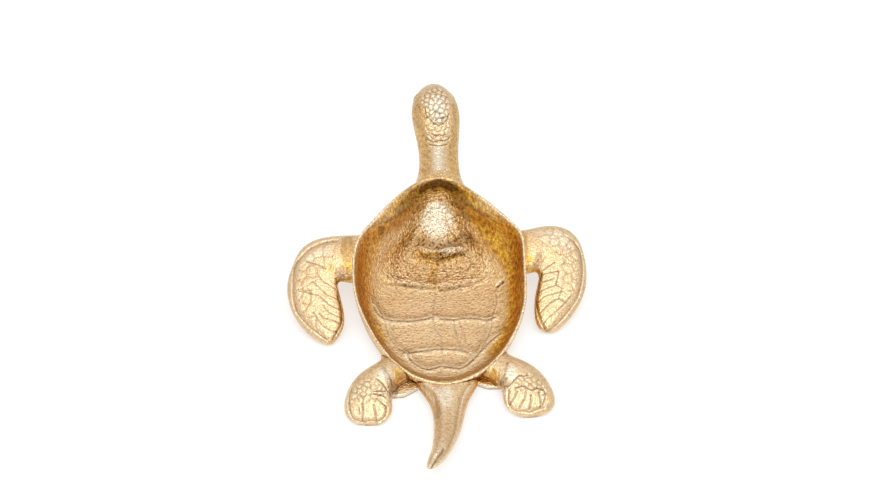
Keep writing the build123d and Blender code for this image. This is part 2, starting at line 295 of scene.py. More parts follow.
# The hind feet
left_foot = {
    "edge_line": [
        (351, 389), (349.2, 394), (348.4, 401), (349, 409), (350.5, 415), (354.1, 419.5),
        (360.4, 422.1), (365.7, 421.7), (372, 420.8), (377.3, 421.7), (383.6, 418.6),
        (386.7, 413.2), (386.7, 407.9)],
    "toe_lines": [
        [(358.6, 407.9), (359, 411.4), (359.5, 414.1)],
        [(362.1, 403), (362.6, 410.5), (362.1, 415.9), (362.3, 421.6)],
        [(373.6, 405), (374.6, 409.7), (375.5, 414.1), (376.4, 420.4)],
    ],
    "lines": [
        [(376.4, 378.4), (380, 381.1), (383.6, 384.6), (387.1, 390), (390.7, 393.6)],
        [(377, 398.6), (380, 401.6), (385.4, 406.1), (386.7, 408)],
        [(373.8, 391.3), (380, 390.9), (385.4, 391.3)],
        [(374.4, 394), (380, 395), (386, 397)],
    ],
    "scales": [
        (352, 392), (356, 384), (364, 378), (372, 378), (378, 382), (384, 389), (388, 396),
        (384, 401), (374, 402), (362, 401), (351, 400)],
    "scale_seed": 7,
    "crotch": [
        (384, 366), (390, 376), (396, 384), (399, 392), (396, 398), (390, 396), (388, 388),
        (385, 378), (381, 368)],
    "thigh_glint": [(380, 366), (388, 371), (390, 379), (384, 382), (377, 377)],
    "web": [(392, 402), (386, 392), (396, 386), (408, 380), (420, 386), (430, 396), (420, 402)],
    "glints": [
        [(397, 366), (402, 368), (402, 380), (398, 384), (394, 376)],
    ],
}
right_foot = {
    "edge_line": [
        (508, 391), (507.5, 400.1), (509.7, 406), (512.9, 410.3), (518.4, 411.4), (523.8, 411.4),
        (529.2, 412.5), (534.6, 410.9), (539.5, 408.6), (543.4, 408)],
    "toe_lines": [
        [(516.8, 391.5), (514, 397.9), (510.8, 402.2), (509.2, 404.9)],
        [(526.2, 391.5), (524.9, 397.9), (522.2, 402.8), (519.5, 408.2)],
        [(531.1, 394.8), (531.4, 401.1), (530.3, 406), (529.2, 409.3)],
        [(539, 392), (540.6, 399), (541.1, 403.3), (540.9, 407.1)],
        [(545.3, 392), (545.5, 397.9), (543.8, 402.2), (542.8, 405.5)],
    ],
    "lines": [
        [(519.5, 375.1), (516.2, 377.8), (512.9, 381.6), (509.7, 384.9), (507.5, 386.5)],
        [(519.5, 375.1), (523, 376), (527, 375)],
        [(516, 388), (521, 386), (526, 387), (531, 390), (537, 388), (543, 390)],
    ],
    "scales": [
        (520, 374), (530, 372), (538, 377), (545, 386), (549, 396), (546, 398), (540, 392),
        (528, 391), (516, 392), (512, 390), (516, 381)],
    "scale_seed": 11,
    "crotch": [
        (506, 362), (504, 374), (499, 382), (500, 387), (507, 389), (510, 383), (506, 374),
        (509, 362)],
    "thigh_glint": [(505, 372), (510, 365), (517, 368), (516, 377), (508, 384)],
    "web": [(466, 396), (474, 386), (486, 382), (500, 388), (510, 394), (500, 400), (480, 400)],
    "glints": [
        [(489.6, 370), (494, 368), (499, 374), (497, 381), (491, 378)],
    ],
}

# The tail, the head and the neck
tail_base_glint = [(437, 388), (452, 387), (452, 400), (449, 410), (444, 408), (440, 398)]
tail_skirt_line = [
    (470, 383), (466.6, 386), (463.6, 391), (461.4, 396), (460.4, 402), (459, 410.1),
    (457.6, 419.9), (456.6, 427), (454.4, 434), (451.3, 441.6), (447.8, 449.4), (443.6, 455),
    (438.7, 461.3)]
tail_crest_line = [
    (426, 384), (433, 389), (438, 394), (442, 402), (443.6, 414), (443, 428), (441, 442),
    (437, 454)]
tail_left_hollow = [(424, 387), (430, 391), (434, 397), (436, 405), (437.6, 416)]
tail_tip_line = [(444, 449), (440, 455), (436, 460), (433, 466), (431, 470)]
head_lines = [
    [(429.3, 114.2), (431.5, 115), (433.7, 112.4), (435.9, 111.3), (438.9, 113.1), (441, 113.5)],
    [(433, 119), (435.2, 120.6), (437.4, 119), (439.6, 118.3), (444, 117.2)],
    [(424.9, 108), (425.7, 113.1), (426.8, 116.1), (429.3, 118.3), (432.3, 121.9), (433.7, 123.4)],
    [(433.7, 123.4), (438, 125), (441.5, 124.5), (444.5, 122), (447, 119.5), (448.4, 114)],
    [(431.2, 132.9), (433, 134.8), (436.7, 135.9), (439.6, 134.8), (442, 136), (445, 134)],
    [
        (426.4, 137.3), (429.3, 140.3), (433.7, 142.1), (438.1, 141), (441, 140.3), (444, 141),
        (447.7, 139.5), (449.9, 137.3)],
    [(429, 144.6), (438, 146), (447, 144.6)],
]
head_crown_glint = [(429, 98), (440, 96), (446, 106), (444, 118), (436, 122), (429, 114)]
neck_glint = [(434, 147), (443, 147), (444, 158), (443, 170), (433, 170), (433, 158)]
neck_crest = [(438.6, 147), (438, 158), (437.6, 170)]
head_sides = [
    [
        (413, 96), (419, 93), (423, 106), (427, 120), (428, 140), (431, 150), (430, 174),
        (416, 176), (415, 150), (409, 128)],
    [
        (459, 96), (454, 95), (452, 108), (451, 124), (450, 140), (447, 150), (450, 174),
        (461, 176), (460, 150), (463, 124)],
]
head_crown = [
    (420, 100), (428, 90), (438, 87), (446, 92), (450, 104), (449, 118), (443, 127), (434, 127),
    (426, 119)]
head_nape = [
    (425, 119), (434, 127.6), (443, 127.6), (449, 120), (451, 134), (447, 144), (429, 144),
    (424, 134)]

# The eye and the mouth on each side of the head, which the photograph hides, as rows of y and z
# in millimetres
eye_bead = [(86.8, 51.3), (88.4, 51.6)]
eye_lid = [
    (84.9, 51), (86.2, 52.7), (88, 53.1), (89.8, 52.6), (90.6, 51.4), (89.4, 50.2), (87.4, 49.8),
    (85.8, 50.2), (84.9, 51)]
mouth_line = [(95.3, 48.6), (93.5, 46.8), (90.5, 45.6), (87, 45.2), (84, 46)]


def linear(hex_colour):
    """Linear red, green, blue and alpha of an sRGB hex colour."""
    shares = [int(hex_colour[i:i + 2], 16) / 255 for i in (1, 3, 5)]
    return [s / 12.92 if s <= 0.04045 else ((s + 0.055) / 1.055) ** 2.4 for s in shares] + [1.0]


def add_node(tree, kind, settings=None, sockets=None, links=None):
    """Adds one node with its settings, its plain socket values and the links into it."""
    node = tree.nodes.new(kind)
    for name, value in (settings or {}).items():
        setattr(node, name, value)
    for name, value in (sockets or {}).items():
        node.inputs[name].default_value = value
    for name, source in (links or {}).items():
        tree.links.new(source, node.inputs[name])
    return node


# Fine skins

def dense_copy(node, side):
    """A finely meshed copy of a CAD node, laid back on the node's own surface."""
    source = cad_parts[node]
    mesh = source.data.copy()
    edit = bmesh.new()
    edit.from_mesh(mesh)
    bmesh.ops.remove_doubles(edit, verts=edit.verts, dist=0.001 * MM)
    edit.to_mesh(mesh)
    edit.free()
    mesh.materials.clear()
    blank = bpy.data.objects.new(node + "_blank", mesh)
    bpy.context.scene.collection.objects.link(blank)
    skin = blank.modifiers.new("fine_skin", "REMESH")
    skin.mode = "VOXEL"
    skin.voxel_size = side * MM
    skin.adaptivity = 0
    laid = blank.modifiers.new("laid_on_the_casting", "SHRINKWRAP")
    laid.target = source
    laid.wrap_method = "NEAREST_SURFACEPOINT"
    depsgraph = bpy.context.evaluated_depsgraph_get()
    dense = bpy.data.meshes.new_from_object(blank.evaluated_get(depsgraph))
    bpy.data.objects.remove(blank)
    bpy.data.meshes.remove(mesh)
    return dense


def read_points(mesh):
    points = np.empty(len(mesh.vertices) * 3, np.float32)
    mesh.vertices.foreach_get("co", points)
    return points.reshape(-1, 3).astype(float)


def read_normals(mesh):
    normals = np.empty(len(mesh.vertices) * 3, np.float32)
    mesh.vertex_normals.foreach_get("vector", normals)
    return normals.reshape(-1, 3).astype(float)


def write_points(mesh, points):
    mesh.vertices.foreach_set("co", points.astype(np.float32).ravel())
    mesh.update()


def softened(mesh, values, rounds, share=1.0):
    """Each vertex's value averaged with its neighbours', in rounds; a lower share does less."""
    ends = np.empty(len(mesh.edges) * 2, np.int32)
    mesh.edges.foreach_get("vertices", ends)
    a, b = ends[0::2], ends[1::2]
    count = len(mesh.vertices)
    met = np.bincount(a, minlength=count) + np.bincount(b, minlength=count)
    flat = values.reshape(count, -1)
    for _ in range(rounds):
        near = np.empty_like(flat)
        for i in range(flat.shape[1]):
            across = np.bincount(a, flat[b, i], count) + np.bincount(b, flat[a, i], count)
            near[:, i] = across / met
        flat = flat + (near - flat) * share / 2
    return flat.reshape(values.shape)


# Places on the casting

def pixel_ray(pixel):
    across = (pixel[0] - photo_width / 2) / photo_width * camera_sensor / camera_lens
    up = (photo_height / 2 - pixel[1]) / photo_width * camera_sensor / camera_lens
    ray = Vector((across, up, -1))
    ray.rotate(camera_turn)
    return ray.normalized()


def pixels_of(points):
    """Where points of the row frame stand in the photograph."""
    local = (points - np.array(camera_place)) @ np.array(camera_turn.to_matrix())
    scale = photo_width * camera_lens / camera_sensor / -local[:, 2]
    return np.column_stack([photo_width / 2 + local[:, 0] * scale,
                            photo_height / 2 - local[:, 1] * scale])


def smooth_row(row, step):
    """Places about a step apart along a smooth curve through those of the row."""
    p = np.array(row, float)
    p = np.vstack([2 * p[0] - p[1], p, 2 * p[-1] - p[-2]])
    curve = []
    for i in range(1, len(p) - 2):
        count = max(2, int(np.linalg.norm(p[i + 1] - p[i]) / step))
        t = np.linspace(0, 1, count, endpoint=False)[:, None]
        curve.append(0.5 * (2 * p[i] + (p[i + 1] - p[i - 1]) * t
                            + (2 * p[i - 1] - 5 * p[i] + 4 * p[i + 1] - p[i + 2]) * t ** 2
                            + (3 * p[i] - p[i - 1] - 3 * p[i + 1] + p[i + 2]) * t ** 3))
    return np.vstack(curve + [p[-2:-1]])


def surface_of(mesh):
    return BVHTree.FromPolygons([v.co.copy() for v in mesh.vertices],
                                [tuple(f.vertices) for f in mesh.polygons])


def inside_bowl(mesh):
    """How plainly each vertex is seen from above the bowl, which falls off at the edge of it."""
    surface = surface_of(mesh)
    seen = np.zeros(len(mesh.vertices))
    for i, (point, normal) in enumerate(zip(read_points(mesh), read_normals(mesh))):
        start = Vector(point + seen_start * MM * normal)
        way = above_bowl - start
        seen[i] = surface.ray_cast(start, way.normalized(), way.length)[0] is None
    return np.clip((softened(mesh, seen, seen_rounds) - seen_share) / seen_range, 0, 1)


class Relief:
    """The cast relief of a skin: how far each vertex is lifted along its normal, and its finish.

    The finish has five measures at each vertex: tarnished patina with painted shade, a deeper gold
    that is mostly painted reflection, coarseness, painted highlight, and shade, the share that it
    takes of the painted reflection and shade from the shelter around it.
    """

    def __init__(self, mesh):
        self.mesh = mesh
        self.points = read_points(mesh)
        normals = softened(mesh, read_normals(mesh), skin_rounds)
        self.normals = normals / np.linalg.norm(normals, axis=1)[:, None]
        self.pixels = pixels_of(self.points)
        self.facing = ((np.array(camera_place) - self.points) * self.normals).sum(1) > 0
        count = len(self.points)
        self.lift = np.zeros(count)
        self.tarnish = np.zeros(count)
        self.deep = np.zeros(count)
        self.coarse = np.zeros(count)
        self.rubbed = np.zeros(count)
        self.shade = np.ones(count)
        self.surface = surface_of(mesh)

    def trace(self, pixels):
        """Points of the casting under a row of the photograph's pixels."""
        rays = [(camera_place, pixel_ray(pixel)) for pixel in smooth_row(pixels, pixel_step)]
        return self.met(rays)

    def trace_side(self, side, row):
        """Points of the casting at a row of y and z, seen from its left, -1, or its right, 1."""
        rays = [(Vector((side * beside_head, y, z)) * MM, Vector((-side, 0, 0)))
                for y, z in smooth_row(row, side_step)]
        return self.met(rays)

    def met(self, rays):
        found = [self.surface.ray_cast(start, way)[0] for start, way in rays]
        return np.array([hit for hit in found if hit is not None]).reshape(-1, 3)

    def near(self, line, reach):
        """The vertices within reach of a line, how far off they are, and which are on its left."""
        inside = np.all((self.points > line.min(0) - reach)
                        & (self.points < line.max(0) + reach), axis=1)
        chosen = np.nonzero(inside)[0]
        best = np.full(len(chosen), np.inf)
        place = np.zeros(len(chosen), int)
        batch = 40
        for start in range(0, len(line), batch):
            part = line[None, start:start + batch]
            gaps = np.linalg.norm(self.points[chosen][:, None] - part, axis=2)
            closest = gaps.argmin(1)
            gap = gaps[np.arange(len(chosen)), closest]
            closer = gap < best
            best[closer] = gap[closer]
            place[closer] = closest[closer] + start
        kept = best < reach
        chosen, best, place = chosen[kept], best[kept], place[kept]
        along = np.gradient(line, axis=0)[place]
        away = self.points[chosen] - line[place]
        left = along[:, 0] * away[:, 1] - along[:, 1] * away[:, 0] > 0
        return chosen, best, left

    def line(self, pixels, **cast):
        """A cast line along a row of the photograph's pixels."""
        self.cut(self.trace(pixels), **cast)

    def cut(self, line, depth, width, right_width=None, tarnish=1.0, tarnish_width=None):
        """A cast line along points of the casting, or a crest where the depth is below 0.

        It may fall off over another width on its right.
        """
        if len(line) < 2:
            return
        right_width = right_width or width
        tarnish_width = tarnish_width or min(width, right_width)
        chosen, gap, left = self.near(line, line_reach * max(width, right_width) * MM)
        wide = np.where(left, width, right_width) * MM
        self.lift[chosen] -= depth * MM * np.exp(-(gap / wide) ** 2)
        darkening = tarnish * np.exp(-(gap / (tarnish_width * MM)) ** 2)
        self.tarnish[chosen] = np.maximum(self.tarnish[chosen], darkening)

    def under(self, outline):
        """The vertices seen within an outline drawn on the photograph."""
        p, inside = self.pixels, np.zeros(len(self.points), bool)
        for (x0, y0), (x1, y1) in zip(outline, outline[1:] + outline[:1]):
            crossed = (y0 > p[:, 1]) != (y1 > p[:, 1])
            with np.errstate(divide="ignore", invalid="ignore"):
                inside ^= crossed & (p[:, 0] < (x1 - x0) * (p[:, 1] - y0) / (y1 - y0) + x0)
        return inside & self.facing

    def ground(self, outline, **finish):
        """At least this much of each measure of the finish, within an outline."""
        inside = self.under(outline)
        for measure, value in finish.items():
            kept = getattr(self, measure)
            kept[inside] = np.maximum(kept[inside], value)

    def scales(self, outline, size, height, seam, seed):
        """Pillowed scales within an outline; seam is how dark the lines between them are."""
        order = np.random.default_rng(seed).permutation(np.nonzero(self.under(outline))[0])
        if len(order) < 3:
            return
        left = np.ones(len(order), bool)
        centres = []
        for i in range(len(order)):
            if left[i]:
                centres.append(self.points[order[i]])
                left &= np.linalg.norm(self.points[order] - centres[-1], axis=1) > size * MM
        tree = KDTree(len(centres))
        for i, c in enumerate(centres):
            tree.insert(c, i)
        tree.balance()
        edge = []
        for i in order:
            nearest, second = tree.find_n(self.points[i], 2)
            edge.append(second[2] - nearest[2])
        pillow = 1 - np.exp(-(np.array(edge) / (seam_share * size * MM)) ** 2)
        self.lift[order] += height * MM * (pillow - pillow_level)
        self.tarnish[order] = np.maximum(self.tarnish[order], seam * (1 - pillow) ** 3)

    def shelter(self, around):
        """Deeper gold as painted reflection where little air is open, painted shade in the
        corners, and a painted contact shadow close to the table.
        """
        free = openness(self, around)
        deep = np.clip((open_enough - free) / open_range, 0, 1)
        corner = np.clip((tarnished_corner - free) / tarnished_corner, 0, most_corner_tarnish)
        foot = np.clip(tarnished_foot - self.points[:, 2] / MM, 0, most_foot_tarnish)
        self.deep = np.maximum(self.deep, self.shade * deep)
        self.tarnish = np.maximum(np.maximum(self.tarnish, self.shade * corner), foot)

    def apply(self):
        """Lifts the skin, adds the wear and tarnish of its new shape, and stores the finish."""
        mesh = self.mesh
        lifted = self.points + self.normals * self.lift[:, None]
        write_points(mesh, lifted)
        flatter = softened(mesh, lifted, shape_rounds)
        bulge = ((lifted - flatter) * read_normals(mesh)).sum(1) / MM
        crests = np.clip(most_from_shape * bulge / worn_bulge, 0, most_from_shape)
        dents = np.clip(-bulge / tarnished_dent, 0, most_from_shape)
        finish = {
            "tarnish": np.maximum(self.tarnish, softened(mesh, dents, wear_rounds)),
            "deep": softened(mesh, self.deep, finish_rounds),
            "coarse": softened(mesh, self.coarse, finish_rounds),
            "wear_and_painted_highlight": softened(mesh, crests, wear_rounds)
                    + softened(mesh, self.rubbed, finish_rounds),
        }
        for name, values in finish.items():
            kept = mesh.attributes.new(name, "FLOAT", "POINT")
            kept.data.foreach_set("value", np.clip(values, 0, 1).astype(np.float32))


def openness(relief, around):
    """Share of the air above each vertex that is open; the table counts as half open."""
    turn = np.random.default_rng(shelter_seed)
    count = len(relief.points)
    n = relief.normals
    side = np.cross(n, np.where(np.abs(n[:, 2:]) < 0.9, [[0, 0, 1]], [[1, 0, 0]]))
    side /= np.linalg.norm(side, axis=1)[:, None]
    other = np.cross(n, side)
    start = relief.points + n * shelter_start * MM
    free = np.zeros(count)
    for i in range(shelter_rays):
        angle = 2 * np.pi * (i * golden_share + turn.random(count))
        out = np.sqrt((i + 0.5) / shelter_rays)
        way = (side * (out * np.cos(angle))[:, None] + other * (out * np.sin(angle))[:, None]
               + n * np.sqrt(1 - out ** 2))
        for k in range(count):
            if around.ray_cast(start[k], way[k], shelter_reach * MM)[0] is None:
                free[k] += 0.5 if way[k][2] < 0 else 1.0
    return softened(relief.mesh, free / shelter_rays, shelter_rounds)


# Relief of each casting; an uneven line falls off slowly towards the middle of its limb

def dress_dish(relief):
    for row in dish_plate_lines:
        relief.line(row, depth=-plate_ridge_height, width=plate_ridge_width, tarnish=0)
        relief.line(row, depth=plate_line_depth, width=plate_line_width, tarnish=0.8)
    for row in dish_front_lines:
        relief.line(row, depth=0.2, width=plate_line_width, tarnish=0.45)
    for row in dish_edge_lines:
        relief.line(row, depth=-0.3, width=1.6, tarnish=0)
        relief.line(row, depth=fine_line_depth, width=fine_line_width, tarnish=0.6)
    for row in dish_faint_lines:
        relief.line(row, depth=0.16, width=fine_line_width, tarnish=0.4)
    # The lips are raised, and the hollows under them are cut in and darkened as a painted shadow
    # below each lip.
    relief.line(dish_left_lip, depth=-0.5, width=1.2, tarnish=0)
    relief.line(dish_left_lip_hollow, depth=0.35, width=0.9, tarnish=0.4)
    relief.line(dish_right_lip, depth=-0.95, width=1.2, tarnish=0)
    relief.line(dish_right_lip_hollow, depth=0.7, width=1.0, tarnish=0.6)
    # A painted highlight along the right lip.
    relief.ground(dish_right_lip_glint, rubbed=1)
    # The hollow above the lips and the hollows along the lobes are darkened as painted shade.
    relief.line(dish_hollow_above_lip, depth=0.7, width=2.6, tarnish=0.45, tarnish_width=2.8)
    for row in dish_lobe_edges:
        relief.line(row, depth=-0.45, width=2.6, tarnish=0)
    for row in dish_lobe_hollows:
        relief.line(row, depth=0.4, width=1.2, tarnish=0.5, tarnish_width=0.9)
    relief.ground(dish_middle_stain, deep=0.75, tarnish=0.2)
    relief.line(dish_gouge, depth=0.9, width=0.6)
    # The walls are painted deeper orange gold, a painted reflection of the bowl in itself; the
    # left one is paler and takes less painted reflection and shade from its shelter.
    relief.ground(dish_left_wall, deep=0.75)
    relief.shade[relief.under(dish_left_wall)] = 0.75
    relief.ground(dish_right_wall, deep=1)
    # Painted shade in the hollow under the arch and on the front walls beside it, where the gold
    # is also deepened by painted reflection.
    relief.ground(dish_arch_hollow, tarnish=0.5, deep=1)
    relief.ground(dish_arch_shade, tarnish=1)
    for outline in dish_shaded_walls:
        relief.ground(outline, tarnish=0.45)
    # A painted highlight on the bright slope.
    relief.ground(dish_bright_slope, rubbed=1)
    relief.deep *= inside_bowl(relief.mesh)
    relief.coarse[:] = 0.35
    relief.ground(dish_grainy_ground, coarse=0.7)
    relief.ground(dish_rough_ground, coarse=1)
    relief.coarse[relief.under(dish_bright_slope)] = 0.8
    relief.ground(dish_stain, tarnish=0.5, coarse=0.5)


def dress_flipper(relief, drawn):
    relief.coarse[:] = 0.12
    relief.scales(drawn["plates"], seam=0.35, **drawn["plate"])
    relief.line(drawn["edge_line"], depth=0.55, tarnish=0.7, tarnish_width=0.4,
                **drawn["edge_widths"])
    relief.line(drawn["inner_line"], depth=0.4, tarnish=0.9, **drawn["inner_widths"])
    for row in drawn["lines"]:
        relief.line(row, depth=fine_line_depth, width=fine_line_width, tarnish=0.7)
    for row in drawn["faint_lines"]:
        relief.line(row, depth=0.14, width=fine_line_width, tarnish=0.35)
    relief.ground(drawn["crotch"], tarnish=0.28, coarse=0.6)
    # Painted shade and reflection at the root, a painted highlight on the top, and painted yellow
    # reflections at the glints.
    relief.ground(drawn["root"], deep=0.5, tarnish=0.3)
    relief.ground(drawn["top"], rubbed=0.4)
    for outline in drawn["glints"]:
        relief.ground(outline, deep=1)


def dress_foot(relief, drawn):
    relief.coarse[:] = 0.16
    relief.scales(drawn["scales"], size=1.9, height=0.3, seam=0.45, seed=drawn["scale_seed"])
    relief.line(drawn["edge_line"], depth=0.45, width=0.7, right_width=0.35, tarnish=0.5,
                tarnish_width=0.3)
    for row in drawn["toe_lines"]:
        relief.line(row, depth=toe_line_depth, width=toe_line_width, tarnish=0.55)
    for row in drawn["lines"]:
        relief.line(row, depth=fine_line_depth, width=fine_line_width)
    relief.ground(drawn["crotch"], tarnish=0.4, coarse=0.6)
    # A painted highlight on the thigh.
    relief.ground(drawn["thigh_glint"], rubbed=1)
    # The web takes no painted shade or reflection from its shelter, and a painted highlight
    # lightens it.
    web = relief.under(drawn["web"])
    relief.shade[web] = 0
    relief.coarse[web] = 0
    relief.ground(drawn["web"], rubbed=0.6)
    # Painted yellow reflections at the glints.
    for outline in drawn["glints"]:
        relief.ground(outline, deep=1)


def dress_tail(relief):
    relief.coarse[:] = 0.14
    # A painted highlight at the tail's base.
    relief.ground(tail_base_glint, rubbed=1)
    relief.line(tail_skirt_line, depth=0.5, width=0.5, right_width=1.4, tarnish=0.25,
                tarnish_width=0.5)
    relief.line(tail_crest_line, depth=-0.7, width=2.0, tarnish=0)
    relief.line(tail_left_hollow, depth=0.3, width=1.2, tarnish=0.25)
    relief.line(tail_tip_line, depth=0.6, width=0.5, tarnish=0.7)


def dress_head(relief):
    relief.scales(head_crown, size=2.4, height=0.45, seam=0.55, seed=2)
    relief.scales(head_nape, size=2.8, height=0.25, seam=0.35, seed=6)
    for row in head_lines:
        relief.line(row, depth=fine_line_depth, width=fine_line_width)
    relief.line(neck_crest, depth=-0.5, width=2.2, tarnish=0)
    relief.coarse[:] = 0.12
    # Painted highlights on the crown and the neck.
    relief.ground(head_crown_glint, rubbed=0.7)
    relief.ground(neck_glint, rubbed=0.8)
    # Painted reflection and shade deepen the gold on the sides of the head.
    for outline in head_sides:
        relief.ground(outline, deep=0.5, tarnish=0.12, coarse=0.5)
    for side in (-1, 1):
        relief.cut(relief.trace_side(side, eye_bead), depth=-0.3, width=1.4, tarnish=0)
        for row in (eye_lid, mouth_line):
            relief.cut(relief.trace_side(side, row), depth=0.4, width=0.4, tarnish=0.8)


# Finish

def cast_grain():
    """Geometry nodes that lift a skin by the lumps and the grain that sand leaves on a casting."""
    tree = bpy.data.node_groups.new("cast_grain", "GeometryNodeTree")
    made = {}
    for name, kind in (("Casting", "NodeSocketGeometry"), ("Lump Size", "NodeSocketFloat"),
                       ("Lump Height", "NodeSocketFloat"), ("Grain Size", "NodeSocketFloat"),
                       ("Grain Height", "NodeSocketFloat"), ("Seed", "NodeSocketFloat"),
                       ("Finish", "NodeSocketMaterial")):
        socket = tree.interface.new_socket(name, in_out="INPUT", socket_type=kind)
        made[name] = socket.identifier
    tree.interface.new_socket("Casting", in_out="OUTPUT", socket_type="NodeSocketGeometry")
    given = add_node(tree, "NodeGroupInput").outputs
    place = add_node(tree, "GeometryNodeInputPosition").outputs[0]
    normal = add_node(tree, "GeometryNodeInputNormal").outputs[0]
    coarse = add_node(tree, "GeometryNodeInputNamedAttribute", {"data_type": "FLOAT"},
                      {"Name": "coarse"}).outputs[0]
    lifts = []
    for size, height, detail in (("Lump Size", "Lump Height", 2.0),
                                 ("Grain Size", "Grain Height", 1.0)):
        scale = add_node(tree, "ShaderNodeMath", {"operation": "DIVIDE"}, {0: 1.0},
                         {1: given[size]}).outputs[0]
        noise = add_node(tree, "ShaderNodeTexNoise", {"noise_dimensions": "4D"},
                         {"Detail": detail},
                         {"Vector": place, "W": given["Seed"], "Scale": scale}).outputs["Fac"]
        middle = add_node(tree, "ShaderNodeMath", {"operation": "SUBTRACT"}, {1: 0.5},
                          {0: noise}).outputs[0]
        lifts.append(add_node(tree, "ShaderNodeMath", {"operation": "MULTIPLY"}, None,
                              {0: middle, 1: given[height]}).outputs[0])
    # Lumps belong to the coarse ground alone; the grain is everywhere
    squared = add_node(tree, "ShaderNodeMath", {"operation": "POWER"}, {1: 2.0},
                       {0: coarse}).outputs[0]
    lumps = add_node(tree, "ShaderNodeMath", {"operation": "MULTIPLY"}, None,
                     {0: lifts[0], 1: squared}).outputs[0]
    both = add_node(tree, "ShaderNodeMath", {"operation": "ADD"}, None,
                    {0: lumps, 1: lifts[1]}).outputs[0]
    offset = add_node(tree, "ShaderNodeVectorMath", {"operation": "SCALE"}, None,
                      {"Vector": normal, "Scale": both}).outputs[0]
    moved = add_node(tree, "GeometryNodeSetPosition", None, None,
                     {"Geometry": given["Casting"], "Offset": offset})
    real = add_node(tree, "GeometryNodeRealizeInstances", None, None,
                    {"Geometry": moved.outputs[0]})
    done = add_node(tree, "GeometryNodeSetMaterial", None, None,
                    {"Geometry": real.outputs[0], "Material": given["Finish"]})
    add_node(tree, "NodeGroupOutput", None, None, {0: done.outputs[0]})
    return tree, made


